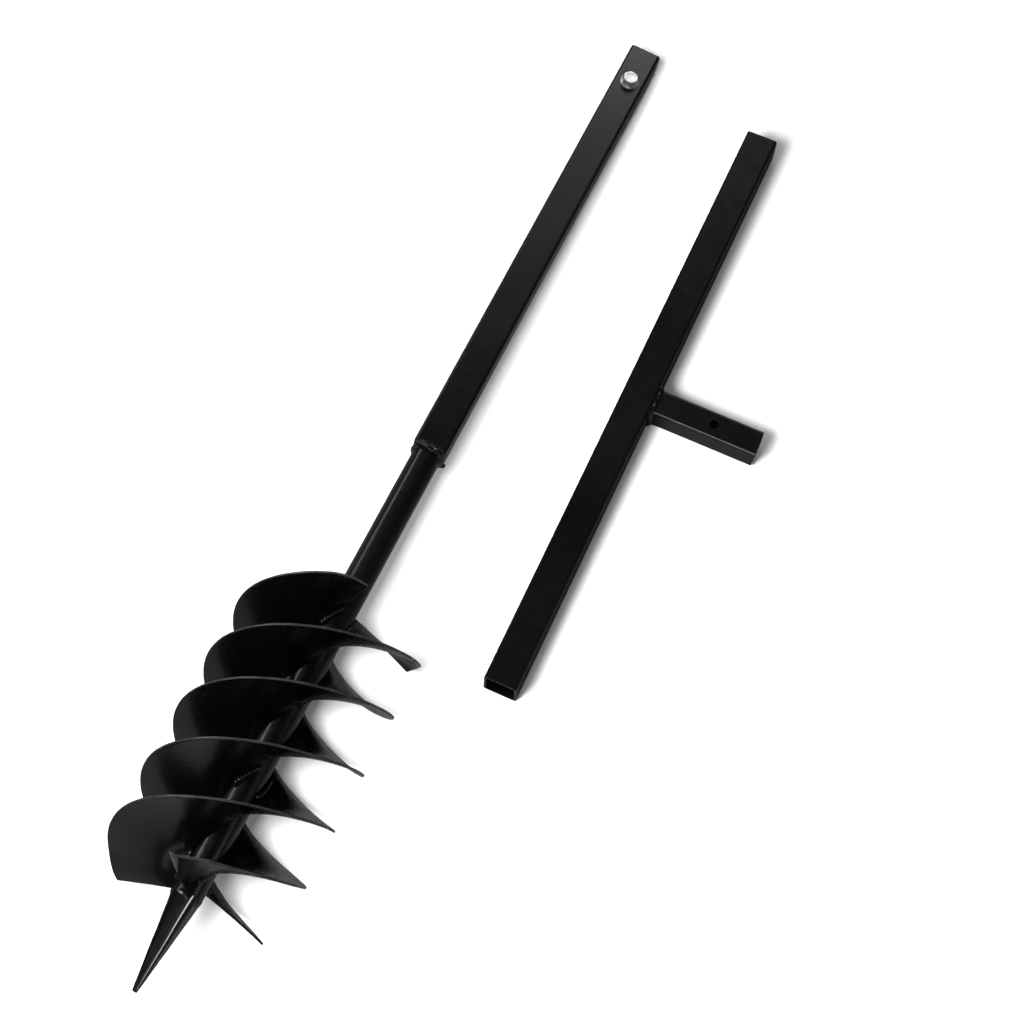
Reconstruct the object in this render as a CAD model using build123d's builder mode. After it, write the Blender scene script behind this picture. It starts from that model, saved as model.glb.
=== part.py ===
# Hand-turned soil auger with a detachable T-handle.
# The shaft unit lies on the ground on its flights and on the end of its lock bolt, with the
# pilot point toward -Y.  The T-handle lies flat beside it, on its +X side, with its stub
# toward +X.  Ground is the plane z = 0.  All lengths are millimetres, all angles degrees
# unless a comment says radians.
import math
import os

from build123d import *

os.makedirs("parts", exist_ok=True)

# ---------------------------------------------------------------- driving dimensions
# shaft unit, measured along its axis from the pilot point
unit_length = 995.0  # tip of the pilot point to the mouth of the socket tube
socket_side = 30.0
socket_wall = 2.0
socket_corner = 3.0
socket_length = 485.0
socket_start = unit_length - socket_length
core_radius = 12.7
core_wall = 2.5
core_start = 80.0
core_plug = 55.0  # length of core tube held inside the socket tube
core_end = socket_start + core_plug

# flighting: three right-hand helical blades on one helix, evenly spaced, each cut
# to length where it was welded, so their ends are a few degrees out of step
flight_radius = 78.0
flight_root = core_radius + 0.03
flight_lead = 154.0
flight_start = 83.5  # height of the helix at the first angle
flight_sheet = 2.0  # sheet thickness square to the blade surface
flight_first_angle = -41.0
flight_ends = ((0.0, 611.0), (-3.0, 618.0), (12.9, 624.0))  # begin and end turn of each blade
flight_spacing = 360 / len(flight_ends)
flight_stations = 10  # points along each long edge of the blade section

# stitch welds along the blade roots
bead_leg = 4.2
bead_rises = (6.0, 86.0, 166.0, 237.0)  # start of each stitch above flight_start
bead_length = 23.0
bead_gap = 0.02
bead_belly_out = 0.34  # middle of the hollow face: share of the leg out from the core
bead_belly_round = 0.46  # and share of the leg round the core

# pilot point: tapering bar with four soft ridges
point_tip_half = 1.9
point_tip_corner = 1.05
point_base_half = 11.2
point_base_corner = 6.4
point_turn = 167.0  # turn of its square section about the shaft axis
point_spigot_radius = 10.1
point_spigot_length = 26.0

# lock bolt, washer and nut
bolt_from_mouth = 43.0
bolt_hole_radius = 4.5  # in the socket tube and in the stub
bolt_radius = 3.95
bolt_length = 40.0
bolt_flange_radius = 9.0
bolt_flange_taper = 2.0  # loss of radius over the flange height
bolt_flange_height = 2.0
bolt_head_height = 7.2
across_flats = 13.0  # bolt head and nut
washer_radius = 8.0
washer_bore = 4.2  # radius
washer_height = 1.6
washer_clearance = 0.05
nut_height = 6.8
nut_bore = 3.99  # radius

# T-handle
bar_side = 30.0
bar_wall = 2.0
bar_corner = 3.0
bar_length = 600.0
stub_side = 25.0
stub_wall = 2.0
stub_corner = 2.5
stub_length = 100.0
stub_hole_from_end = 43.0
stub_bead = 4.4

# resting place of the two units on the ground
tilt = math.radians(4.7573)  # shaft axis falls toward the socket mouth
roll = math.radians(-6.0)
tip_x, tip_y, tip_z = -138.0, -654.8, 104.151  # pilot tip; x and y from the handle centre
# puts the bottom centre of the whole outline at the origin
shift_x, shift_y = 50.5, 158.4336

# ---------------------------------------------------------------- working planes
axis = Vector(0, math.cos(tilt), -math.sin(tilt))  # up the shaft, from point to mouth
level = Vector(1, 0, 0)
raised = level.cross(axis)
side = level * math.cos(roll) + raised * math.sin(roll)  # out of the socket's +X face
face = side.cross(axis)  # out of the socket's upper face, which the bolt enters
tip = Vector(tip_x + shift_x, tip_y + shift_y, tip_z)

shaft = Plane(origin=tip, x_dir=side * -1, z_dir=axis)
bolt_centre = tip + axis * (unit_length - bolt_from_mouth)
bolt_plane = Plane(origin=bolt_centre, x_dir=axis, z_dir=face)
bolt_axis = Axis((0, 0, 0), face)  # used for sorting faces only
handle_centre = Vector(shift_x, shift_y, bar_side / 2)
bar_plane = Plane(origin=handle_centre, x_dir=(1, 0, 0), z_dir=(0, 1, 0))
stub_plane = Plane(origin=handle_centre, x_dir=(0, 1, 0), z_dir=(1, 0, 0))
stub_hole_x = bar_side / 2 + stub_length - stub_hole_from_end
stub_hole_plane = Plane(
    origin=handle_centre + Vector(stub_hole_x, 0, 0), x_dir=(1, 0, 0), z_dir=(0, 0, 1)
)

black = Color(0.03, 0.03, 0.035)
zinc = Color(0.72, 0.74, 0.76)


def finish(made, label, tint):
    made.part.label = label
    made.part.color = tint
    export_step(made.part, f"parts/{label}.step")


def tube_section(width, wall, corner):
    """Square tube outline, drawn in the sketch that is open."""
    RectangleRounded(width, width, corner)
    hollow = width - 2 * wall
    RectangleRounded(hollow, hollow, corner - wall, mode=Mode.SUBTRACT)


# ---------------------------------------------------------------- socket tube
with BuildPart() as socket_tube:
    with BuildSketch(shaft.offset(socket_start)):
        tube_section(socket_side, socket_wall, socket_corner)
    extrude(amount=socket_length)
    with BuildSketch(bolt_plane):
        Circle(bolt_hole_radius)
    extrude(amount=socket_side, both=True, mode=Mode.SUBTRACT)
finish(socket_tube, "socket_tube", black)

# ---------------------------------------------------------------- round core tube
with BuildPart() as core_tube:
    with BuildSketch(shaft.offset(core_start)):
        Circle(core_radius)
        Circle(core_radius - core_wall, mode=Mode.SUBTRACT)
    extrude(amount=core_end - core_start)
finish(core_tube, "core_tube", black)

# ---------------------------------------------------------------- weld collar at the tube joint
collar_length = 6.0
collar_foot_thickness = 1.6
collar_overcut = 1.0  # the bore starts this far before the collar
# distance before the socket tube, side, corner radius
collar_squares = ((2.2, 27.6, 10.0), (0.0, 28.6, 4.5))

with BuildPart() as socket_weld:
    with BuildSketch(shaft.offset(socket_start - collar_length)):
        Circle(core_radius + collar_foot_thickness)
    for before, width, corner in collar_squares:
        with BuildSketch(shaft.offset(socket_start - before)):
            RectangleRounded(width, width, corner)
    loft(ruled=True)
    with BuildSketch(shaft.offset(socket_start - collar_length - collar_overcut)):
        Circle(core_radius)
    extrude(amount=collar_length + collar_overcut, mode=Mode.SUBTRACT)
finish(socket_weld, "socket_weld", black)


# ---------------------------------------------------------------- helix helpers
def half_width(radius):
    """Half the angle, in radians, that the sheet takes up in a slice square to the shaft."""
    rise = flight_lead / (2 * math.pi * radius)
    return flight_sheet * math.sqrt(1 + rise * rise) * math.pi / flight_lead


def polar(radius, angle):
    """Point at this radius and angle in radians."""
    return (radius * math.cos(angle), radius * math.sin(angle))


def rise_at(turn):
    """Height gained along the helix in this many degrees."""
    return flight_lead * turn / 360.0


def helix_guides(start, height, radius):
    """Straight sweep path on the shaft axis, and the helix that twists the section."""
    spine = Edge.make_line(shaft.offset(start).origin, shaft.offset(start + height).origin)
    twist = Edge.make_helix(flight_lead, height, radius).moved(shaft.offset(start).location)
    return spine, twist


# ---------------------------------------------------------------- flights
flight_step = (flight_radius - flight_root) / (flight_stations - 1)
radii = [flight_root + flight_step * i for i in range(flight_stations)]


def build_flight(blade_angle, begin, end):
    """One blade between two turns along the helix; all angles in degrees."""
    foot = flight_start + rise_at(begin)
    spine, twist = helix_guides(foot, rise_at(end) - rise_at(begin), flight_radius)
    middle = math.radians(blade_angle + begin)
    with BuildPart() as flight:
        with BuildSketch(shaft.offset(foot)):
            with BuildLine():
                lower = Spline(*[polar(r, middle - half_width(r)) for r in radii])
                upper = Spline(*[polar(r, middle + half_width(r)) for r in radii])
                ThreePointArc(lower @ 0, polar(flight_root, middle), upper @ 0)
                ThreePointArc(lower @ 1, polar(flight_radius, middle), upper @ 1)
            make_face()
        sweep(path=spine, binormal=twist)
    return flight


for i, (begin, end) in enumerate(flight_ends):
    flight = build_flight(flight_first_angle + i * flight_spacing, begin, end)
    finish(flight, f"flight_{i + 1}", black)

# ---------------------------------------------------------------- pilot point
# height on the shaft, half side, corner radius
point_sections = (
    (0.0, point_tip_half, point_tip_corner),
    (core_start, point_base_half, point_base_corner),
)
with BuildPart() as pilot_point:
    for height, half, corner in point_sections:
        with BuildSketch(shaft.offset(height)):
            with Locations(Rotation(0, 0, point_turn)):
                RectangleRounded(2 * half, 2 * half, corner)
    loft(ruled=True)
    with BuildSketch(shaft.offset(core_start)):
        Circle(point_spigot_radius)
    extrude(amount=point_spigot_length)
finish(pilot_point, "pilot_point", black)

# ---------------------------------------------------------------- weld ring behind the point
# height above the foot of the core tube, radius
pilot_weld_sections = ((-9.0, 11.4), (-2.5, 13.3), (0.9, 13.6))
pilot_weld_cut = 2.0  # long enough to clear the core tube from the ring

with BuildPart() as pilot_weld:
    for height, radius in pilot_weld_sections:
        with BuildSketch(shaft.offset(core_start + height)):
            Circle(radius)
    loft(ruled=True)
    with BuildSketch(shaft.offset(core_start)):
        Circle(core_radius)
    extrude(amount=pilot_weld_cut, mode=Mode.SUBTRACT)
    add(pilot_point.part, mode=Mode.SUBTRACT)
finish(pilot_weld, "pilot_weld", black)


# ---------------------------------------------------------------- stitch welds along the roots
def bead_points(middle, way):
    """Corners and arc middles of the fillet on one side (way -1 or 1) of a blade root.

    The blade's middle is at this angle in radians.
    """
    root = core_radius + bead_gap
    reach = root + bead_leg
    inner = middle + way * (half_width(root) + bead_gap / root)
    outer = inner + way * bead_leg / root
    edge = middle + way * (half_width(reach) + bead_gap / reach)
    belly = inner + way * bead_belly_round * bead_leg / root
    return (
        polar(root, inner),
        polar(root, (inner + outer) / 2),
        polar(root, outer),
        polar(reach, edge),
        polar(root + bead_belly_out * bead_leg, belly),
    )


def build_flight_weld(blade_angle):
    """All stitches of one blade, a pair of small fillets at each height."""
    with BuildPart() as weld:
        for rise in bead_rises:
            foot = flight_start + rise
            spine, twist = helix_guides(foot, bead_length, core_radius)
            middle = math.radians(blade_angle) + 2 * math.pi * rise / flight_lead
            for way in (-1, 1):
                inner, on_core, outer, on_blade, belly = bead_points(middle, way)
                with BuildSketch(shaft.offset(foot)):
                    with BuildLine():
                        ThreePointArc(inner, on_core, outer)
                        Line(inner, on_blade)
                        ThreePointArc(on_blade, belly, outer)
                    make_face()
                sweep(path=spine, binormal=twist)
    return weld


for i in range(len(flight_ends)):
    weld = build_flight_weld(flight_first_angle + i * flight_spacing)
    finish(weld, f"flight_{i + 1}_weld", black)

# ---------------------------------------------------------------- lock bolt
head_foot = socket_side / 2
crown_chamfer, crown_chamfer_other = 0.9, 0.5
bolt_end_chamfer = 0.8

with BuildPart() as lock_bolt:
    with BuildSketch(bolt_plane.offset(head_foot)):
        Circle(bolt_flange_radius)
    with BuildSketch(bolt_plane.offset(head_foot + bolt_flange_height)):
        Circle(bolt_flange_radius - bolt_flange_taper)
    loft()
    with BuildSketch(bolt_plane.offset(head_foot)):
        RegularPolygon(across_flats / 2, 6, major_radius=False)
    extrude(amount=bolt_head_height)
    crown = lock_bolt.faces().sort_by(bolt_axis)[-1]
    chamfer(crown.edges(), length=crown_chamfer, length2=crown_chamfer_other)
    with BuildSketch(bolt_plane.offset(head_foot)):
        Circle(bolt_radius)
    extrude(amount=-bolt_length)
    bolt_end = lock_bolt.faces().sort_by(bolt_axis)[0]
    chamfer(bolt_end.edges(), length=bolt_end_chamfer)
finish(lock_bolt, "lock_bolt", zinc)

# ---------------------------------------------------------------- washer and nut
washer_face = -head_foot - washer_clearance  # along the bolt, below the socket tube
nut_chamfer = 0.7

with BuildPart() as nut_washer:
    with BuildSketch(bolt_plane.offset(washer_face)):
        Circle(washer_radius)
        Circle(washer_bore, mode=Mode.SUBTRACT)
    extrude(amount=-washer_height)
finish(nut_washer, "nut_washer", zinc)

with BuildPart() as lock_nut:
    with BuildSketch(bolt_plane.offset(washer_face - washer_height)):
        RegularPolygon(across_flats / 2, 6, major_radius=False)
        Circle(nut_bore, mode=Mode.SUBTRACT)
    extrude(amount=-nut_height)
    outline = lock_nut.faces().sort_by(bolt_axis)[0].outer_wire()
    chamfer(outline.edges(), length=nut_chamfer)
finish(lock_nut, "lock_nut", zinc)

# ---------------------------------------------------------------- T-handle
with BuildPart() as cross_bar:
    with BuildSketch(bar_plane):
        tube_section(bar_side, bar_wall, bar_corner)
    extrude(amount=bar_length / 2, both=True)
finish(cross_bar, "cross_bar", black)

with BuildPart() as stub_tube:
    with BuildSketch(stub_plane.offset(bar_side / 2)):
        tube_section(stub_side, stub_wall, stub_corner)
    extrude(amount=stub_length)
    with BuildSketch(stub_hole_plane):
        Circle(bolt_hole_radius)
    extrude(amount=stub_side, both=True, mode=Mode.SUBTRACT)
finish(stub_tube, "stub_tube", black)

# ---------------------------------------------------------------- weld round the foot of the stub
stub_weld_top = stub_side + 0.7
# distance out from the bar's face, width along the bar, height, corner radius
stub_weld_sections = (
    (-1.0, stub_side + 2 * stub_bead, 28.4, 3.4),
    (1.2, stub_side + 1.2 * stub_bead, 28.0, 4.0),
    (stub_bead, stub_weld_top, stub_weld_top, stub_corner + 0.35),
)
stub_cut_depth = 3.0  # the stub's cut starts this far inside the bar's face
bar_cut_reach = 60.0  # half length of the cut along the bar

with BuildPart() as stub_weld:
    for distance, width, height, corner in stub_weld_sections:
        with BuildSketch(stub_plane.offset(bar_side / 2 + distance)):
            RectangleRounded(width, height, corner)
    loft(ruled=True)
    with BuildSketch(stub_plane.offset(bar_side / 2 - stub_cut_depth)):
        RectangleRounded(stub_side, stub_side, stub_corner)
    extrude(amount=stub_length, mode=Mode.SUBTRACT)
    with BuildSketch(bar_plane):
        RectangleRounded(bar_side, bar_side, bar_corner)
    extrude(amount=bar_cut_reach, both=True, mode=Mode.SUBTRACT)
finish(stub_weld, "stub_weld", black)
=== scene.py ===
"""An earth auger in two units, laid out on a pale floor.

The shaft unit runs from its tip, raised at -Y, down toward +Y: a pilot point, a round core tube
with three helical blades, then a square socket tube crossed by a lock bolt. The handle unit, a
cross bar with a stub tube, lies on the floor at its +X side. Shapes are worked out in
millimetres and turned into metres as vertices are made.
"""

import math
import random

import bmesh
import bpy
from mathutils import Matrix, Vector, noise


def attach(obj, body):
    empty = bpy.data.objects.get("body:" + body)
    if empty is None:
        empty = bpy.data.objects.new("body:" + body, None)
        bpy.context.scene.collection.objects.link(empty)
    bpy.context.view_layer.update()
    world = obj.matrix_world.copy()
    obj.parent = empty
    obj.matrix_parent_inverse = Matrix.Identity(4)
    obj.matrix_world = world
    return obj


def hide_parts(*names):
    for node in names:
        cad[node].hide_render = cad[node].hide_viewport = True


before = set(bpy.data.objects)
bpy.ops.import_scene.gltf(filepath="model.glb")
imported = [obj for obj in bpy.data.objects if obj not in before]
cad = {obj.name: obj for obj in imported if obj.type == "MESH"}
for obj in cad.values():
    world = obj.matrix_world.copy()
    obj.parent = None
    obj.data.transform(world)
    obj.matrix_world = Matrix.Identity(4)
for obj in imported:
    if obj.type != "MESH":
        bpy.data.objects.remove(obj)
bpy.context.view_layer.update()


scene = bpy.context.scene
MM = 0.001

# ------------------------------------------------------------------ where the units lie
PLACE_X, PLACE_Y = 50.5, 158.4336  # shift shared by both units
BAR = Vector((PLACE_X, PLACE_Y, 15.0))  # origin of the handle unit
TIP = Vector((PLACE_X - 138.0, PLACE_Y - 654.8, 104.151))
TILT, ROLL = math.radians(4.7573), math.radians(-6.0)  # of the shaft: tip up, turned on its axis

# the shaft's axes: from tip to socket, to its right (near +X) and to its top (near +Z)
ALONG = Vector((0, math.cos(TILT), -math.sin(TILT)))
LEVEL = Vector((1, 0, 0))
RIGHT = LEVEL * math.cos(ROLL) + LEVEL.cross(ALONG) * math.sin(ROLL)
TOP = RIGHT.cross(ALONG)

# ------------------------------------------------------------------ shaft sizes, mm
SHAFT_LENGTH, SOCKET_START = 995.0, 510.0
CORE_R, POINT_LENGTH = 12.7, 80.0
BLADE_R, BLADE_START, BLADE_SHEET = 78.0, 83.5, 2.0
RISE_PER_RADIAN = 154.0 / (2 * math.pi)  # the blades climb 154 mm a turn
FIRST_ANGLE, BLADE_STEP = -41.0, 120  # degrees: start of the first blade, angle between blades


def radial(angle):
    """Unit vector out from the axis; the angle runs from the left side toward the top."""
    return RIGHT * -math.cos(angle) + TOP * math.sin(angle)


def on_shaft(s, r, angle):
    """A point of the shaft unit in metres, s mm from the tip and r mm out."""
    return (TIP + ALONG * s + radial(angle) * r) * MM


def shaft_place(x, y, s):
    """A point of the shaft unit in metres, x mm left and y mm above the axis."""
    return (TIP + ALONG * s + RIGHT * -x + TOP * y) * MM


def bar_place(x, y, h):
    """A point of the handle unit in metres, h mm along +X from its origin."""
    return (BAR + Vector((h, x, y))) * MM


# ------------------------------------------------------------------ mesh helpers
def smooth(mesh):
    for poly in mesh.polygons:
        poly.use_smooth = True


def make_mesh(name, verts, faces, material, sharp):
    """A smooth-shaded object whose edges steeper than `sharp` degrees stay crisp."""
    mesh = bpy.data.meshes.new(name)
    mesh.from_pydata([tuple(v) for v in verts], [], faces)
    mesh.validate()
    bm = bmesh.new()
    bm.from_mesh(mesh)
    bmesh.ops.recalc_face_normals(bm, faces=bm.faces)
    bm.to_mesh(mesh)
    bm.free()
    obj = bpy.data.objects.new(name, mesh)
    scene.collection.objects.link(obj)
    smooth(mesh)
    mesh.set_sharp_from_angle(angle=math.radians(sharp))
    mesh.update()
    mesh.materials.append(material)
    return obj


def mesh_from_bmesh(name, bm, material):
    mesh = bpy.data.meshes.new(name)
    bm.to_mesh(mesh)
    bm.free()
    mesh.materials.append(material)
    obj = bpy.data.objects.new(name, mesh)
    scene.collection.objects.link(obj)
    return obj


def join(name, objs, material):
    bm = bmesh.new()
    for obj in objs:
        bm.from_mesh(obj.data)
    joined = mesh_from_bmesh(name, bm, material)
    for obj in objs:
        bpy.data.objects.remove(obj)
    return joined


def band(low, high, count):
    """Quads between two closed rings of vertices that start at indices low and high."""
    return [(low + j, low + (j + 1) % count, high + (j + 1) % count, high + j)
            for j in range(count)]


def ring_faces(rings, count):
    return [face for i in range(rings - 1) for face in band(i * count, (i + 1) * count, count)]


def register(obj, unit, node):
    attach(obj, unit)
    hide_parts(node)


# ------------------------------------------------------------------ material helpers
class Graph:
    """A node tree, emptied and ready to be filled."""

    def __init__(self, owner):
        owner.use_nodes = True
        self.tree = owner.node_tree
        self.tree.nodes.clear()

    def feed(self, socket, value):
        """Link a socket or set a value; a tuple is an RGB colour."""
        if isinstance(value, bpy.types.NodeSocket):
            self.tree.links.new(value, socket)
        elif isinstance(value, tuple):
            socket.default_value = (*value, 1.0)
        else:
            socket.default_value = value

    def node(self, kind, inputs=(), **settings):
        made = self.tree.nodes.new("ShaderNode" + kind)
        for key, value in settings.items():
            setattr(made, key, value)
        for key, value in dict(inputs).items():
            self.feed(made.inputs[key], value)
        return made


class Surface(Graph):
    """A material with a Principled shader; lengths in it are in metres."""

    def __init__(self, name):
        self.material = bpy.data.materials.new(name)
        super().__init__(self.material)
        output = self.node("OutputMaterial")
        self.shader = self.node("BsdfPrincipled")
        self.feed(output.inputs[0], self.shader.outputs[0])
        self.coord = self.node("TexCoord").outputs["Object"]

    def shade(self, inputs):
        for key, value in inputs.items():
            self.feed(self.shader.inputs[key], value)
        return self.material

    def noise(self, scale, detail=2.0, rough=0.5):
        inputs = {"Scale": scale, "Detail": detail, "Roughness": rough, "Vector": self.coord}
        return self.node("TexNoise", inputs).outputs["Fac"]

    def ramp(self, source, span, to=(0.0, 1.0)):
        """Map the span of the source onto the range `to`, clamped."""
        inputs = {"From Min": span[0], "From Max": span[1],
                  "To Min": to[0], "To Max": to[1], "Value": source}
        return self.node("MapRange", inputs).outputs[0]

    def math(self, operation, a, b):
        return self.node("Math", {0: a, 1: b}, operation=operation).outputs[0]

    def vector(self, operation, inputs):
        return self.node("VectorMath", dict(enumerate(inputs)), operation=operation).outputs

    def mix(self, factor, a, b):
        return self.node("Mix", {0: factor, 6: a, 7: b}, data_type="RGBA").outputs[2]

    def bump(self, height, distance, strength, normal=None):
        inputs = {"Distance": distance, "Strength": strength, "Height": height}
        if normal is not None:
            inputs["Normal"] = normal
        return self.node("Bump", inputs).outputs[0]

    def edges(self, radius):
        """The rounded normal, and a mask that is white where it leaves the true one."""
        rounded = self.node("Bevel", {"Radius": radius}, samples=6).outputs[0]
        true = self.node("NewGeometry").outputs["Normal"]
        dot = self.vector("DOT_PRODUCT", (rounded, true))["Value"]
        return rounded, self.ramp(dot, span=(0.98, 0.84))


# ------------------------------------------------------------------ materials
BLACK = (0.0055, 0.0052, 0.0058)


def painted_rim_highlight(surface, tone, mottle, amount):
    """A painted highlight along a blade's outer rim: pale by its distance from the shaft's axis."""
    from_tip = surface.vector("SUBTRACT", (surface.coord, TIP * MM))[0]
    cross = surface.vector("CROSS_PRODUCT", (from_tip, ALONG))[0]
    reach = surface.vector("LENGTH", (cross,))["Value"]
    outer = surface.ramp(reach, span=((BLADE_R - 0.75) * MM, (BLADE_R - 0.35) * MM))
    patchy = surface.ramp(mottle, span=(0.3, 0.6), to=(0.6 * amount, amount))
    return surface.mix(surface.math("MULTIPLY", outer, patchy), tone, (0.16, 0.156, 0.152))


def enamel(name, rough, wave, peel=0.05, edge=0.0006, wear_and_highlight=0.35, rim=0.0):
    """Black stoved enamel on steel.

    wave and peel are the depths of its slow waviness and its orange peel, edge the radius of
    softened edges, the wear setting how pale the edges are painted, as rubbed paint and as a
    painted highlight, and rim how bright a painted highlight along a blade's outer rim is.
    """
    surface = Surface(name)
    ramp, bump = surface.ramp, surface.bump
    fine = surface.noise(scale=900.0)
    mottle = surface.noise(scale=120.0, detail=4.0, rough=0.6)
    broad = surface.noise(scale=9.0, detail=3.0)
    dust = surface.noise(scale=2600.0, detail=1.0)
    rounded, edges = surface.edges(edge)
    # near black in lighter and darker patches, with pale specks of dust, and edges painted pale as
    # rubbed paint and as a painted highlight
    tone = surface.mix(ramp(broad, span=(0.35, 0.65)), BLACK, tuple(c * 1.7 for c in BLACK))
    specks = ramp(dust, span=(0.8, 0.88), to=(0.0, 0.04))
    tone = surface.mix(specks, tone, (0.035, 0.034, 0.033))
    rub_and_highlight = ramp(mottle, span=(0.42, 0.66), to=(0.6 * wear_and_highlight, wear_and_highlight))
    tone = surface.mix(surface.math("MULTIPLY", edges, rub_and_highlight), tone, (0.2, 0.196, 0.19))
    # a painted highlight along a blade's outer rim
    if rim:
        tone = painted_rim_highlight(surface, tone, mottle, rim)
    roughness = surface.math("ADD", ramp(broad, span=(0.3, 0.7), to=(rough - 0.04, rough + 0.05)),
                             ramp(mottle, span=(0.35, 0.7), to=(-0.02, 0.05)))
    roughness = surface.math("ADD", roughness, ramp(dust, span=(0.72, 0.84), to=(0.0, 0.12)))
    normal = bump(fine, distance=0.00004, strength=peel * 4, normal=rounded)
    normal = bump(mottle, distance=0.0002, strength=peel * 2, normal=normal)
    slow = surface.noise(scale=22.0)
    normal = bump(slow, distance=0.0012, strength=wave, normal=normal)
    return surface.shade({"Base Color": tone, "Roughness": roughness, "Specular IOR Level": 0.5,
                          "Coat Weight": 0.25, "Coat Roughness": 0.12, "Normal": normal})


def weld_metal(name):
    """Enamel sprayed over a weld: glossy, lumpy, with small pits."""
    surface = Surface(name)
    lump = surface.noise(scale=300.0)
    pits = surface.node("TexVoronoi", {"Scale": 700.0, "Vector": surface.coord})
    tone = surface.mix(surface.ramp(lump, span=(0.4, 0.7)),
                       (0.006, 0.006, 0.0065), (0.016, 0.015, 0.015))
    roughness = surface.ramp(lump, span=(0.3, 0.7), to=(0.13, 0.26))
    normal = surface.bump(lump, distance=0.0003, strength=0.16)
    normal = surface.bump(pits.outputs["Distance"], distance=0.0001, strength=0.06, normal=normal)
    return surface.shade({"Base Color": tone, "Roughness": roughness, "Coat Weight": 0.4,
                          "Coat Roughness": 0.1, "Normal": normal})


def zinc(name):
    """Bright zinc plate: a cloudy sheen with fine darker pores, and its edges painted lighter as a
    highlight.
    """
    surface = Surface(name)
    cloud = surface.noise(scale=260.0, detail=4.0, rough=0.6)
    fine = surface.noise(scale=2500.0)
    rounded, edges = surface.edges(0.0003)
    tone = surface.mix(surface.ramp(cloud, span=(0.35, 0.65)),
                       (0.92, 0.93, 0.94), (0.78, 0.79, 0.82))
    pores = surface.ramp(fine, span=(0.68, 0.82), to=(0.0, 0.3))
    tone = surface.mix(pores, tone, (0.45, 0.45, 0.46))
    # edges painted lighter: a painted highlight
    tone = surface.mix(surface.math("MULTIPLY", edges, 0.35), tone, (0.97, 0.97, 0.97))
    roughness = surface.ramp(cloud, span=(0.3, 0.7), to=(0.26, 0.42))
    normal = surface.bump(fine, distance=0.00003, strength=0.3, normal=rounded)
    normal = surface.bump(cloud, distance=0.0001, strength=0.15, normal=normal)
    return surface.shade({"Base Color": tone, "Metallic": 0.55, "Roughness": roughness,
                          "Normal": normal})


tube_enamel = enamel("enamel_tube", rough=0.30, wave=0.06)
# the blades' edges and outer rims are painted pale: a painted highlight over rubbed paint
blade_enamel = enamel("enamel_blade", rough=0.24, wave=0.05, peel=0.012, edge=0.0008, wear_and_highlight=0.95,
                      rim=0.72)
point_enamel = enamel("enamel_point", rough=0.20, wave=0.12, edge=0.0004, wear_and_highlight=0.4)
weld_enamel = weld_metal("enamel_weld")
zinc_plate = zinc("zinc_plate")


# ------------------------------------------------------------------ tubes and washer from the CAD
def dress(node, material):
    mesh = cad[node].data
    mesh.materials.clear()
    mesh.materials.append(material)
    smooth(mesh)


for node in ("socket_tube", "core_tube", "cross_bar", "stub_tube"):
    dress(node, tube_enamel)
dress("nut_washer", zinc_plate)

# ------------------------------------------------------------------ blades
# each blade: the turn (degrees) where it begins and ends, the droop (mm) of its rim over the last
# DROOP_SPAN degrees, and (turn, mm) steps of how far the rim strays along the shaft from a true
# helix
BLADES = (
    (0.0, 611.0, -7.7,
     ((0, -4.8), (6, -4.5), (14, -2.7), (21, -0.9), (30, -0.2), (60, 0.2), (85, 0.0),
      (112, -1.1), (150, -1.2), (200, -1.2), (225, -2.5), (255, -2.6), (280, -1.9), (340, -1.2),
      (390, -0.4), (430, -1.4), (460, -1.1), (490, -0.5), (530, -0.2), (575, -1.2),
      (611, -1.2))),
    (-3.0, 618.0, -6.0,
     ((-3, 4.5), (-1, 2.9), (2, 1.8), (18, 1.5), (28, 0.2), (42, -0.2), (96, -0.4),
      (110, -1.0), (135, -0.8), (152, 0.0), (210, 0.5), (260, 0.6), (318, 0.3), (350, 1.3),
      (390, 1.4), (430, 1.0), (460, 0.0), (485, -1.5), (510, -2.4), (560, -1.0), (618, 0.0))),
    (12.9, 624.0, -6.5,
     ((12.9, -7.0), (17, -6.8), (26, -5.4), (33, -4.7), (44, -3.7), (55, -2.2), (70, -0.8),
      (140, -0.4), (190, -1.3), (232, -1.6), (280, -2.0), (316, -1.9), (340, -2.7),
      (355, -3.6), (385, -3.4), (402, -2.2), (466, -0.9), (510, -1.2), (545, -3.2),
      (575, -3.2), (600, -2.2), (624, -2.0))),
)
DROOP_SPAN = 24.0
RIM_EASE = 0.65  # corner radius of the rim, mm
SKIN_COLS, EASE_COLS, BLADE_ROWS = 22, 5, 330
END_TURN = 0.55  # degrees over which an end is eased
END_SHRINK, END_PULL = 0.62, 0.8  # at an end: share of thickness lost; mm of rim per share lost


def stray(steps, turn):
    """A smooth (Hermite) curve through the steps."""
    if turn <= steps[0][0]:
        return steps[0][1]
    for i in range(len(steps) - 1):
        (t0, v0), (t1, v1) = steps[i], steps[i + 1]
        if t0 <= turn <= t1:
            span = t1 - t0
            before_t, before_v = steps[i - 1] if i else (t0 - span, v0)
            after_t, after_v = steps[i + 2] if i + 2 < len(steps) else (t1 + span, v1)
            slope0 = (v1 - before_v) / (t1 - before_t)
            slope1 = (after_v - v0) / (after_t - t0)
            x = (turn - t0) / span
            return (v0 * (1 + 2 * x) * (1 - x) ** 2 + slope0 * span * x * (1 - x) ** 2
                    + v1 * x * x * (3 - 2 * x) + slope1 * span * x * x * (x - 1))
    return steps[-1][1]


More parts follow.
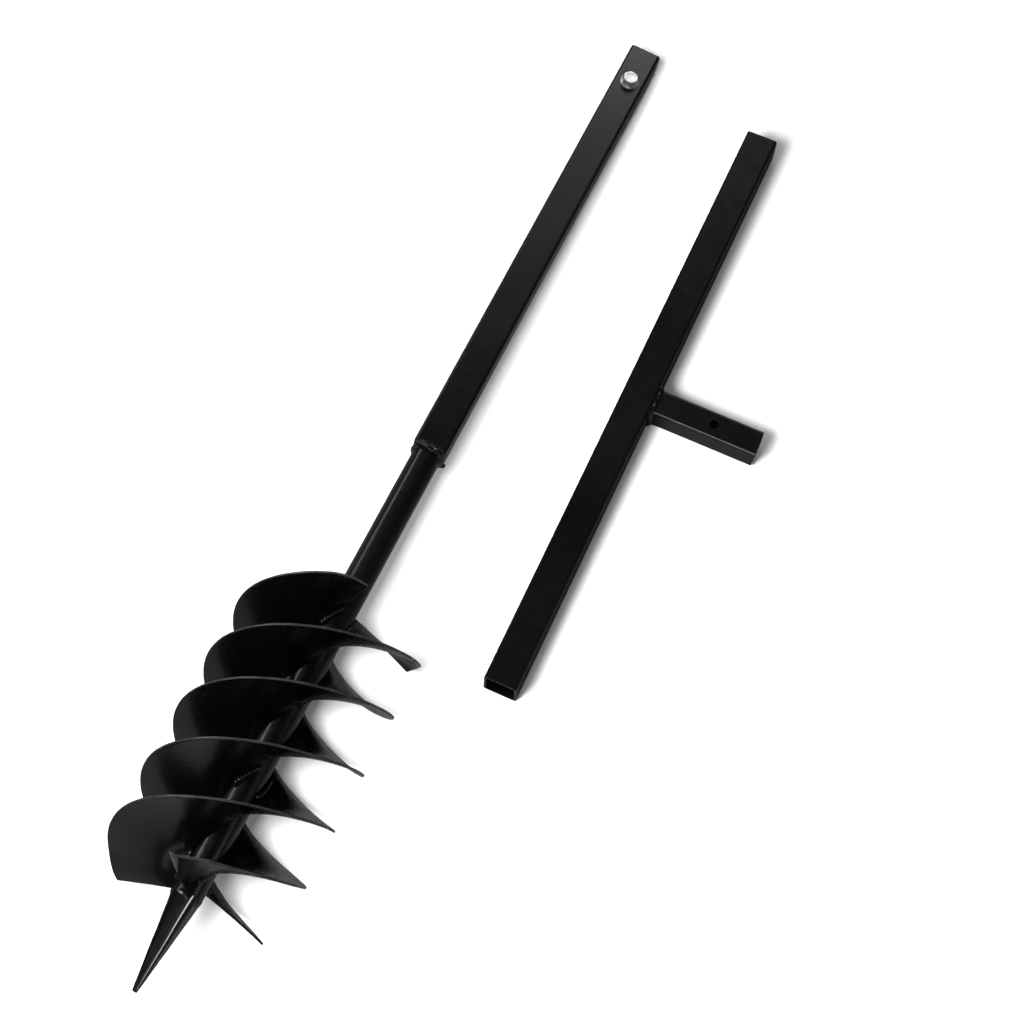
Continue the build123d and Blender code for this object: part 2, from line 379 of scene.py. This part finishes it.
def blade_profile():
    """(radius, offset from the sheet's middle) down one skin to the rim and back up the other."""
    half, root, rim = BLADE_SHEET / 2, CORE_R - 0.6, BLADE_R - RIM_EASE
    lower = [(root + (rim - root) * i / SKIN_COLS, -half) for i in range(SKIN_COLS + 1)]
    for i in range(1, EASE_COLS):
        a = math.pi / 2 * i / EASE_COLS
        lower.append((rim + RIM_EASE * math.sin(a), -(half - RIM_EASE) - RIM_EASE * math.cos(a)))
    lower.append((BLADE_R, -(half - RIM_EASE)))
    return lower + [(r, -off) for r, off in reversed(lower)]


def blade_stations(begin, end):
    """(turn, thickness share) along a blade, thinner over its first and last half degree."""
    eased = []
    for a in (0.0, 22.5, 45.0, 67.5):
        left = 1 - math.sin(math.radians(a))
        eased.append((END_TURN * left, 1 - END_SHRINK * left))
    stations = [(begin + END_TURN - back, share) for back, share in eased]
    stations += [(begin + 0.6 + (end - begin - 1.2) * (i / BLADE_ROWS), 1.0)
                 for i in range(BLADE_ROWS + 1)]
    return stations + [(end - END_TURN + back, share) for back, share in reversed(eased)]


def blade(name, k):
    """A helical sheet with a rounded rim and eased ends, built as one swept skin."""
    begin, end, droop, steps = BLADES[k]

    def middle(turn, r):
        """Height along the shaft of the sheet's middle surface, with a slight waviness."""
        out = max(0.0, (r - CORE_R) / (BLADE_R - CORE_R))
        s = BLADE_START + RISE_PER_RADIAN * math.radians(turn)
        late = max(0.0, 1 - (end - turn) / DROOP_SPAN)
        away = stray(steps, turn) + droop * late * late
        wavy = 0.25 * noise.noise(Vector((turn * 0.03, k * 7.3, out * 2.0)))
        return s + away * out ** 1.4 + wavy * out

    def skin_point(turn, r, off):
        angle = math.radians(FIRST_ANGLE + BLADE_STEP * k + turn)
        climb = (middle(turn + 1.0, r) - middle(turn - 1.0, r)) / (2 * math.radians(1.0))
        lean = middle(turn, r + 0.5) - middle(turn, r - 0.5)
        outward = radial(angle)
        tangent = RIGHT * math.sin(angle) + TOP * math.cos(angle)
        normal = (ALONG - tangent * (climb / r) - outward * lean).normalized()
        return (TIP + ALONG * middle(turn, r) + outward * r + normal * off) * MM

    profile = blade_profile()
    stations = blade_stations(begin, end)
    verts = []
    for turn, share in stations:
        for r, off in profile:
            pull = 0.0 if r < BLADE_R - 2 * RIM_EASE else (1 - share) * END_PULL
            verts.append(skin_point(turn, r - pull, off * share))
    count = len(profile)
    faces = ring_faces(len(stations), count)
    for start in (0, (len(stations) - 1) * count):  # close each end with a strip of quads
        for i in range(count // 2 - 1):
            facing = start + count - 1 - i
            faces.append((start + i, start + i + 1, facing - 1, facing))
    return make_mesh(name, verts, faces, blade_enamel, sharp=40)


blades = []
for k in range(len(BLADES)):
    obj = blade(f"blade_{k + 1}", k)
    register(obj, "auger", f"flight_{k + 1}")
    blades.append(obj)

# ------------------------------------------------------------------ pilot point
POINT_TURN = math.radians(167.0)  # angle of one of its flats
POINT_HALF = (1.9, 11.2)  # half width across flats, at the tip and at the base
POINT_CORNER = (1.05, 6.4)  # corner radius, at the tip and at the base
POINT_COUNT, POINT_RINGS = 96, 60
TIP_ROUNDING = [(0.0, 0.35), (0.25, 0.78), (0.7, 0.97)]  # (distance from tip, share of width)
SPIGOT_END = 106.0
SPIGOT = ((POINT_LENGTH, 10.1), (SPIGOT_END, 10.1), (SPIGOT_END, 0.6))  # (distance, radius)


def soft_square(half, corner, angle):
    """Radius of a rounded square with its flats at angle 0, 90, ..."""
    a = (angle + math.pi / 4) % (math.pi / 2) - math.pi / 4
    centre = half - corner
    flat = half / math.cos(a)
    if flat * abs(math.sin(a)) <= centre:
        return flat
    # meets the corner circle centred at (centre, centre)
    b = centre * (math.cos(abs(a)) + math.sin(abs(a)))
    return b + math.sqrt(max(b * b - 2 * centre * centre + corner * corner, 0.0))


def point_mesh():
    """A slightly uneven tapered square spike, with a round spigot inside the core tube."""
    count = POINT_COUNT
    angles = [2 * math.pi * j / count for j in range(count)]
    sections = TIP_ROUNDING + [(POINT_LENGTH * i / POINT_RINGS, 1.0)
                               for i in range(1, POINT_RINGS + 1)]
    verts = []
    for s, share in sections:
        t = s / POINT_LENGTH
        half, corner = (a + (b - a) * t for a, b in (POINT_HALF, POINT_CORNER))
        for a in angles:
            r = soft_square(half, corner, a - POINT_TURN) * share
            uneven = noise.noise(Vector((s * 0.06, math.cos(a) * 1.3, math.sin(a) * 1.3)))
            verts.append(on_shaft(s, r + 0.16 * uneven * min(1.0, s / 15.0), a))
    faces = ring_faces(len(sections), count)
    tip = len(verts)
    verts.append(on_shaft(0.0, 0.0, 0.0))
    faces += [(tip, (j + 1) % count, j) for j in range(count)]
    previous = (len(sections) - 1) * count
    for s, r in SPIGOT:
        ring = len(verts)
        verts += [on_shaft(s, r, a) for a in angles]
        faces += band(previous, ring, count)
        previous = ring
    end = len(verts)
    verts.append(on_shaft(SPIGOT_END, 0.0, 0.0))
    faces += [(end, previous + j, previous + (j + 1) % count) for j in range(count)]
    return make_mesh("point", verts, faces, point_enamel, sharp=45)


point = point_mesh()
register(point, "auger", "pilot_point")

# ------------------------------------------------------------------ weld collars
LOOP_COUNT, COLLAR_ROWS = 240, 14


def rounded_rect_loop(half_x, half_y, corner):
    """Evenly walked outline: (x, y, normal x, normal y, distance) points, and its length."""
    arc = math.pi * corner / 2
    sides = [2 * (half_y - corner), arc, 2 * (half_x - corner), arc] * 2
    total = sum(sides)
    points = []
    for i in range(LOOP_COUNT):
        d = total * i / LOOP_COUNT
        side = 0
        while d > sides[side]:
            d -= sides[side]
            side += 1
        quarter = side // 2
        a, b = (half_x, half_y) if quarter % 2 == 0 else (half_y, half_x)
        if side % 2 == 0:
            x, y, nx, ny = a, -(b - corner) + d, 1.0, 0.0
        else:
            t = d / corner
            nx, ny = math.cos(t), math.sin(t)
            x, y = a - corner + corner * nx, b - corner + corner * ny
        c, s = math.cos(quarter * math.pi / 2), math.sin(quarter * math.pi / 2)
        points.append((x * c - y * s, x * s + y * c, nx * c - ny * s, nx * s + ny * c,
                       total * i / LOOP_COUNT))
    return points, total


def circle_loop(radius, like=None):
    """The same for a circle; its points stand at the angles of the loop `like`, if given."""
    points = []
    for i in range(LOOP_COUNT):
        even = 2 * math.pi * i / LOOP_COUNT
        a = math.atan2(like[0][i][1], like[0][i][0]) if like else even
        points.append((radius * math.cos(a), radius * math.sin(a), math.cos(a), math.sin(a),
                       radius * even))
    return points, 2 * math.pi * radius


def collar(name, place, low, high, heights, bulge, pitch, seed, rough, inside=1.2):
    """A weld bead laid round a joint, from loop `low` to loop `high` at the two heights.

    Its ripples are `pitch` mm apart; `rough` is its unevenness and `inside` the depth of the
    hidden inner skin, in mm.
    """
    rnd = random.Random(seed)
    (low_loop, total), (high_loop, _) = low, high
    low_h, high_h = heights
    ripples = max(6, round(total / pitch))
    sizes = [0.75 + 0.5 * rnd.random() for _ in range(ripples)]
    shifts = [rnd.uniform(-0.35, 0.35) for _ in range(ripples)]
    slant = 0.45 if high_h > low_h else -0.45
    verts = []
    for i in range(COLLAR_ROWS + 1):
        t = i / COLLAR_ROWS
        lift = math.sin(math.pi * t)
        for start, end in zip(low_loop, high_loop):
            x, y, nx, ny = (a + (b - a) * t for a, b in zip(start[:4], end[:4]))
            length = math.hypot(nx, ny)
            nx, ny = nx / length, ny / length
            h = low_h + (high_h - low_h) * t
            phase = (start[4] / total * ripples - 0.9 * lift) % ripples
            k = int(phase) % ripples
            k_next = (k + 1) % ripples
            part = phase - int(phase)
            crest = 0.5 - 0.5 * math.cos(2 * math.pi * part)
            size = sizes[k] + (sizes[k_next] - sizes[k]) * part
            out = bulge * lift * (0.84 + 0.16 * crest) * size
            out += (noise.noise(Vector((x * 0.19, y * 0.19, h * 0.24 + seed)))
                    * rough * (0.25 + lift))
            h += (shifts[k] + (shifts[k_next] - shifts[k]) * part) * lift * 0.8
            verts.append(place(x + nx * out, y + ny * out, h + out * slant))
    faces = ring_faces(COLLAR_ROWS + 1, LOOP_COUNT)
    previous = COLLAR_ROWS * LOOP_COUNT
    for loop, h in ((high_loop, high_h), (low_loop, low_h)):  # the hidden inner skin
        ring = len(verts)
        for (x, y, *_), (_, _, nx, ny, _) in zip(high_loop, loop):
            verts.append(place(x - nx * inside, y - ny * inside, h))
        faces += band(previous, ring, LOOP_COUNT)
        previous = ring
    faces += band(previous, 0, LOOP_COUNT)
    return make_mesh(name, verts, faces, weld_enamel, sharp=70)


def nub(name, centre, radius, seed):
    """A ball of weld spatter, squashed and lumpy."""
    bm = bmesh.new()
    bmesh.ops.create_icosphere(bm, subdivisions=3, radius=1.0)
    for v in bm.verts:
        lump = noise.noise(v.co * 1.7 + Vector((seed, 0, 0)))
        v.co = v.co * radius * MM * (1 + 0.25 * lump)
        v.co.z *= 0.85
        v.co += centre
    obj = mesh_from_bmesh(name, bm, weld_enamel)
    smooth(obj.data)
    return obj


# the square socket tube's end narrows to the core tube; a smaller bead runs on its edge
square = rounded_rect_loop(14.4, 14.4, 4.2)
socket_bead = collar(
    "socket_bead", shaft_place, low=square, high=circle_loop(CORE_R + 0.3, like=square),
    heights=(SOCKET_START + 0.1, SOCKET_START - 6.2), bulge=1.5, pitch=3.4, seed=3, rough=0.9)
socket_lip = collar(
    "socket_lip", shaft_place,
    low=rounded_rect_loop(14.9, 14.9, 3.2), high=rounded_rect_loop(13.2, 13.2, 3.6),
    heights=(SOCKET_START + 0.6, SOCKET_START - 2.2), bulge=0.75, pitch=3.9, seed=11, rough=0.5,
    inside=0.8)
spatter = nub("spatter", shaft_place(-14.3, -11.0, SOCKET_START - 0.4), radius=2.6, seed=4.0)
socket_weld = join("socket_bead_run", [socket_bead, socket_lip, spatter], weld_enamel)
register(socket_weld, "auger", "socket_weld")

point_loop = circle_loop(12.9)
pilot_weld = collar(
    "pilot_bead", shaft_place, low=point_loop, high=circle_loop(11.6, like=point_loop),
    heights=(POINT_LENGTH + 1.5, POINT_LENGTH - 4.5), bulge=0.55, pitch=5.5, seed=7, rough=0.22)
register(pilot_weld, "auger", "pilot_weld")

stub_weld = collar(
    "stub_bead", bar_place,
    low=rounded_rect_loop(16.3, 13.9, 3.4), high=rounded_rect_loop(12.6, 12.6, 2.6),
    heights=(14.3, 19.0), bulge=0.9, pitch=3.3, seed=5, rough=0.5)
register(stub_weld, "handle", "stub_weld")

# ------------------------------------------------------------------ blade root welds
ROOT_RISES = (6.0, 86.0, 166.0, 237.0)  # where beads begin, mm past the start of the blades
ROOT_LENGTH, ROOT_STEPS, ROOT_COUNT = 23.0, 58, 14
ROOT_BEAD_R, ROOT_RIPPLE = 2.6, 2.9
ROOT_REACH = CORE_R + 1.3  # distance of a bead's middle from the shaft's axis
ROOT_GAP = 1.7  # from the sheet's face to the bead's middle


def root_path(k, rise, way):
    """The middle of a bead beside blade k, as points in metres; way is the side of the sheet."""
    r = ROOT_REACH
    half_sheet = BLADE_SHEET * math.hypot(r, RISE_PER_RADIAN) / RISE_PER_RADIAN / 2 / r
    start = math.radians(FIRST_ANGLE + BLADE_STEP * k) + way * (half_sheet + ROOT_GAP / r)
    rises = [rise + ROOT_LENGTH * i / ROOT_STEPS for i in range(ROOT_STEPS + 1)]
    return [on_shaft(BLADE_START + z, r, start + z / RISE_PER_RADIAN) for z in rises]


def bead_run(name, path, seed):
    """A short open weld bead along a path, with ripples and eased ends."""
    rnd = random.Random(seed)
    count = ROOT_COUNT
    n = len(path)
    length, size = 0.0, 1.0
    tip = TIP * MM
    verts = []
    for i, p in enumerate(path):
        heading = (path[min(i + 1, n - 1)] - path[max(i - 1, 0)]).normalized()
        if i:
            length += (p - path[i - 1]).length / MM
        part = (length / ROOT_RIPPLE) % 1.0
        size += (0.94 + 0.12 * rnd.random() - size) * 0.15
        crest = 0.5 - 0.5 * math.cos(2 * math.pi * part)
        t = i / (n - 1)
        ends = math.sqrt(max(0.0, min(1.0, min(t, 1 - t) * n / 7.0)))
        r = ROOT_BEAD_R * MM * (0.93 + 0.07 * crest) * size * max(ends, 0.12)
        outward = (p - (tip + ALONG * (p - tip).dot(ALONG))).normalized()
        sideways = heading.cross(outward).normalized()
        for j in range(count):
            a = 2 * math.pi * j / count
            c, s = math.cos(a), math.sin(a)
            uneven = 1 + 0.10 * noise.noise(p * 260 + Vector((c, s, seed)))
            verts.append(p + (outward * c + sideways * s) * r * uneven)
    faces = ring_faces(n, count)
    faces.append(tuple(range(count))[::-1])
    faces.append(tuple((n - 1) * count + j for j in range(count)))
    return make_mesh(name, verts, faces, weld_enamel, sharp=70)


for k in range(len(BLADES)):
    runs = [bead_run(f"run_{k}_{q}_{way}", root_path(k, rise, way), 31 * k + 7 * q + way)
            for q, rise in enumerate(ROOT_RISES) for way in (-1, 1)]
    root_weld = join(f"root_bead_{k + 1}", runs, weld_enamel)
    register(root_weld, "auger", f"flight_{k + 1}_weld")

# ------------------------------------------------------------------ bolt and nut
# the bolt crosses the shaft from its top; heights are along it, from the shaft's axis
BOLT_CENTRE = TIP + ALONG * (SHAFT_LENGTH - 43.0)
BOLT_LEFT = TOP.cross(ALONG)
LATHE_COUNT = 96
ACROSS_FLATS = 13.0
FOOT = 15.0  # underside of the flange
HEAD_TOP = FOOT + 7.2
CROWN_R = 6.45  # the head's top slopes down outside this radius
HEAD_TURN = math.radians(48.75)
THREAD_PITCH, THREAD_STEP = 1.25, 0.156
THREAD_START, THREAD_END = FOOT - 17.6, FOOT - 39.2
NUT_TOP, NUT_BOTTOM = -FOOT - 1.65, -FOOT - 8.45
NUT_FACE_R = 6.0  # the nut's faces slope away outside this radius


def lathe(name, rows, capped):
    """Rings round the bolt's axis.

    Each row is a radius, as a number or a function of the angle, and a height, as a number or a
    function of the radius. Without caps the last ring joins the first.
    """
    count = LATHE_COUNT
    verts = []
    for radius, height in rows:
        for j in range(count):
            a = 2 * math.pi * j / count
            r = radius(a) if callable(radius) else radius
            h = height(r) if callable(height) else height
            verts.append((BOLT_CENTRE + ALONG * (r * math.cos(a))
                          + BOLT_LEFT * (r * math.sin(a)) + TOP * h) * MM)
    faces = ring_faces(len(rows), count)
    last = (len(rows) - 1) * count
    if capped:
        faces.append(tuple(range(count)))
        faces.append(tuple(last + j for j in range(count))[::-1])
    else:
        faces += band(last, 0, count)
    return make_mesh(name, verts, faces, zinc_plate, sharp=28)


def hexagon(a, soft):
    """Radius of a hexagon at an angle, its corners blunted from `soft` mm short of their tips."""
    folded = (a + math.pi / 6) % (math.pi / 3) - math.pi / 6
    r = ACROSS_FLATS / 2 / math.cos(folded)
    limit = ACROSS_FLATS / 2 / math.cos(math.pi / 6) - soft
    return limit + 0.25 * (r - limit) if r > limit else r


def head_r(a):
    return hexagon(a - HEAD_TURN, soft=0.06)


def nut_r(a):
    return hexagon(a, soft=0.35)


def toward(outline, start, cut, share):
    """A ring part of the way from radius `start` to `cut` mm inside an outline."""
    return lambda a: start + (outline(a) - cut - start) * share


def crown(r):
    return HEAD_TOP - max(0.0, r - CROWN_R) * 0.4


def thread(z):
    """Radius of the thread at height z, by angle."""
    def radius(a):
        part = (z / THREAD_PITCH + a / (2 * math.pi)) % 1.0
        return 3.92 - 0.55 * min(1.0, abs(2 * part - 1) * 1.15)
    return radius


def bolt_rows():
    # shallow recess in the head's top, then its sloping crown and the flats
    rows = [(0.4, HEAD_TOP - 0.22), (3.6, HEAD_TOP - 0.22), (3.9, HEAD_TOP - 0.2),
            (4.4, HEAD_TOP), (CROWN_R, HEAD_TOP)]
    rows += [(toward(head_r, CROWN_R, 0.12, share), crown) for share in (0.35, 0.7, 0.93)]
    rows += [(head_r, lambda r: crown(r) - 0.22), (head_r, FOOT + 2.75)]
    # flange
    rows += [(lambda a: head_r(a) + 0.25, FOOT + 2.25), (8.2, FOOT + 1.35), (8.85, FOOT + 1.0),
             (9.0, FOOT + 0.75), (9.0, FOOT + 0.25), (8.85, FOOT + 0.03), (4.1, FOOT + 0.03)]
    # plain shank, thread and rounded end
    rows += [(3.95, FOOT - 0.1), (3.95, FOOT - 17.0)]
    z = THREAD_START
    while z > THREAD_END:
        rows.append((thread(z), z))
        z -= THREAD_STEP
    return rows + [(3.25, FOOT - 39.5), (2.9, FOOT - 40.0), (0.3, FOOT - 40.0)]


def nut_rows():
    # (radius, depth below the face) from the bore out to the flats; the bottom mirrors the top
    face = [(3.99, 0.5), (4.5, 0.02), (NUT_FACE_R, 0.02)]
    face += [(toward(nut_r, NUT_FACE_R, 0.1, share), 0.02) for share in (0.5, 0.9)]
    face.append((nut_r, 0.2))

    def row(radius, depth, level, inward):
        return radius, lambda r: level + inward * (depth + max(0.0, r - NUT_FACE_R) * 0.55)

    return ([row(*entry, NUT_TOP, -1) for entry in face]
            + [row(*entry, NUT_BOTTOM, 1) for entry in reversed(face)])


bolt = lathe("flange_bolt", bolt_rows(), capped=True)
register(bolt, "bolt", "lock_bolt")
nut = lathe("hex_nut", nut_rows(), capped=False)
register(nut, "nut", "lock_nut")

# ------------------------------------------------------------------ floor, metres
FLOOR_REACH = 9.0
FLOOR_DROP = 0.0003
FLOOR_GLOW = 0.06  # emission of the lit patch
SEAM = ((0.014, -FLOOR_REACH), (0.014, -0.12), (-0.012, 0.15), (-0.012, FLOOR_REACH))  # (x, y)


def ground(name, side):
    """The ground on one side (-1 or 1 in X) of the seam between the shaft and the handle."""
    near = [(x, y, 0.0) for x, y in SEAM]
    far = [(side * FLOOR_REACH, y, 0.0) for _, y in SEAM]
    quads = [(4 + i, 5 + i, i + 1, i) if side < 0 else (i + 1, 5 + i, 4 + i, i)
             for i in range(3)]
    mesh = bpy.data.meshes.new(name)
    mesh.from_pydata(near + far, [], quads)
    obj = bpy.data.objects.new(name, mesh)
    obj.location.z = -FLOOR_DROP
    scene.collection.objects.link(obj)
    return obj


def pale_floor():
    """Pale to the camera, darker to other rays so that it bounces little light."""
    surface = Surface("pale_floor")
    speckle = surface.noise(scale=300.0, detail=3.0)
    camera_ray = surface.node("LightPath").outputs["Is Camera Ray"]
    pale = surface.mix(speckle, (0.86, 0.86, 0.86), (0.9, 0.9, 0.9))
    tone = surface.mix(camera_ray, (0.1, 0.1, 0.1), pale)
    # beyond the lit patch the ground glows by itself, so it stays white to the horizon
    reach = surface.vector("LENGTH", (surface.coord,))["Value"]
    glow = surface.ramp(reach, span=(0.95, 1.7), to=(FLOOR_GLOW, 1.0))
    return surface.shade({
        "Base Color": tone, "Roughness": 0.85, "Specular IOR Level": 0.1,
        "Emission Color": (1, 1, 1), "Emission Strength": surface.math("MULTIPLY", camera_ray, glow)})


shaft_floor = ground("floor_shaft_side", -1)
handle_floor = ground("floor_handle_side", 1)
floor_material = pale_floor()
for piece in (shaft_floor, handle_floor):
    piece.data.materials.append(floor_material)


# ------------------------------------------------------------------ lights, metres and watts
def link_group(name, members, state):
    """A light-linking collection in which every member has the same state."""
    group = bpy.data.collections.new(name)
    for i, member in enumerate(members):
        group.objects.link(member)
        group.collection_objects[i].light_linking.link_state = state
    return group


def area(name, at, aim, size, power, include=(), exclude=()):
    """A rectangular light; it lights only `include`, or everything but `exclude`."""
    data = bpy.data.lights.new(name, "AREA")
    data.shape = "RECTANGLE"
    data.size, data.size_y = size
    data.energy = power
    data.spread = math.pi
    obj = bpy.data.objects.new(name, data)
    scene.collection.objects.link(obj)
    obj.location = at
    heading = (Vector(aim) - Vector(at)).normalized()
    obj.rotation_euler = heading.to_track_quat("-Z", "Y").to_euler()
    for state, members in (("INCLUDE", include), ("EXCLUDE", exclude)):
        if members:
            group = link_group(f"{name}_{state.lower()}", members, state)
            obj.light_linking.receiver_collection = group
    return obj


core_tube, stub_tube = cad["core_tube"], cad["stub_tube"]
own_lit = [point, bolt]  # these have lights of their own
area("high_left", at=(-1.4, -0.6, 1.9), aim=(-0.1, -0.3, 0.05), size=(0.6, 0.6), power=7.4,
     exclude=own_lit)
area("back_left", at=(-0.7, 3.1, 2.1), aim=(-0.1, 0.2, 0.0), size=(2.2, 1.2), power=18.0,
     exclude=[point])
area("left_streak", at=(-1.5, 0.3, 0.95), aim=(-0.09, 0.1, 0.06), size=(1.8, 0.2), power=5.4,
     exclude=[point, cad["cross_bar"], stub_tube, core_tube])
area("front_low", at=(0.1, -2.4, 0.55), aim=(-0.1, -0.2, 0.08), size=(2.4, 0.35), power=1.2,
     exclude=own_lit)
area("front_high", at=(0.2, -1.9, 1.5), aim=(-0.05, -0.2, 0.05), size=(0.8, 0.6), power=2.5,
     exclude=own_lit)
area("right", at=(1.6, -0.2, 1.0), aim=(-0.05, -0.2, 0.05), size=(0.8, 0.8), power=1.5,
     exclude=own_lit)
area("above", at=(-0.6, -1.3, 3.1), aim=(-0.05, -0.05, 0.0), size=(2.6, 1.9), power=8.0,
     exclude=own_lit)
# a strip for the core tube alone, not stopped by the blades, so the streak runs on between them
tube_streak = area("tube_streak", at=(-1.5, 0.3, 0.95), aim=(-0.09, 0.1, 0.06),
                   size=(1.8, 0.16), power=5.0, include=[core_tube])
tube_streak.light_linking.blocker_collection = link_group(
    "tube_streak_passes", blades, "EXCLUDE")
# the point's own pair: a wide soft one above, a smaller one that catches its ridge
area("point_top", at=(-0.4, -1.3, 3.1), aim=(-0.05, -0.3, 0.0), size=(2.6, 1.9), power=12.0,
     include=[point])
area("point_ridge", at=(1.0, -0.3, 1.95), aim=(-0.09, -0.45, 0.08), size=(0.65, 0.65),
     power=22.0, include=[point])
# the shaft's ground is lit from just left of the camera, so its shadows stay narrow; the
# handle's ground gets a wider light, lower and further left
area("floor_key", at=(-0.1, -0.68, 1.55), aim=(0.0, 0.0, 0.0), size=(0.45, 0.45), power=52.0,
     include=[shaft_floor])
area("floor_key_two", at=(-0.5, -1.0, 1.4), aim=(0.2, 0.1, 0.0), size=(0.75, 0.75), power=80.0,
     include=[handle_floor])
# a thin strip for the rounded edge of the stub
area("stub_strip", at=(0.03, -1.18, 0.69), aim=(0.115, 0.158, 0.02), size=(0.5, 0.07),
     power=6.0, include=[stub_tube])
# a wide one behind the plated pieces and a smaller one in front of the bolt
area("bolt_sky", at=(-0.1, 1.85, 1.5), aim=(-0.087, 0.45, 0.05), size=(1.3, 1.0), power=5.0,
     include=[bolt, nut, cad["nut_washer"]])
area("bolt_front", at=(0.227, -0.659, 1.79), aim=(-0.087, 0.45, 0.05), size=(0.8, 0.8),
     power=4.5, include=[bolt])


# ------------------------------------------------------------------ world and camera
def studio_world():
    """White to the camera, a faint cool fill to everything else."""
    world = bpy.data.worlds.new("studio")
    scene.world = world
    graph = Graph(world)
    output = graph.node("OutputWorld")
    seen = graph.node("Background", {"Color": (1, 1, 1), "Strength": 1.0})
    fill = graph.node("Background", {"Color": (0.95, 0.97, 1.0), "Strength": 0.035})
    camera_ray = graph.node("LightPath").outputs["Is Camera Ray"]
    mixed = graph.node("MixShader", {0: camera_ray, 1: fill.outputs[0], 2: seen.outputs[0]})
    graph.feed(output.inputs[0], mixed.outputs[0])


def add_camera():
    data = bpy.data.cameras.new("camera")
    data.sensor_width = 36.0
    data.lens = 68.2235
    data.clip_start = 0.02
    data.clip_end = 60.0
    camera = bpy.data.objects.new("camera", data)
    scene.collection.objects.link(camera)
    # directions of the view's right and bottom, squared up with each other
    right = Vector((0.910601, 0.412, 0.032577))
    down = Vector((0.390361, -0.831526, -0.395201))
    ahead = right.cross(down).normalized()
    right.normalize()
    down = ahead.cross(right).normalized()
    pose = Matrix((right, -down, -ahead)).transposed().to_4x4()
    pose.translation = Vector((0.22281, -0.62056, 1.56942))
    camera.matrix_world = pose
    scene.camera = camera


studio_world()
scene.view_settings.view_transform = "Standard"
scene.view_settings.look = "None"
scene.view_settings.exposure = 0.0
add_camera()
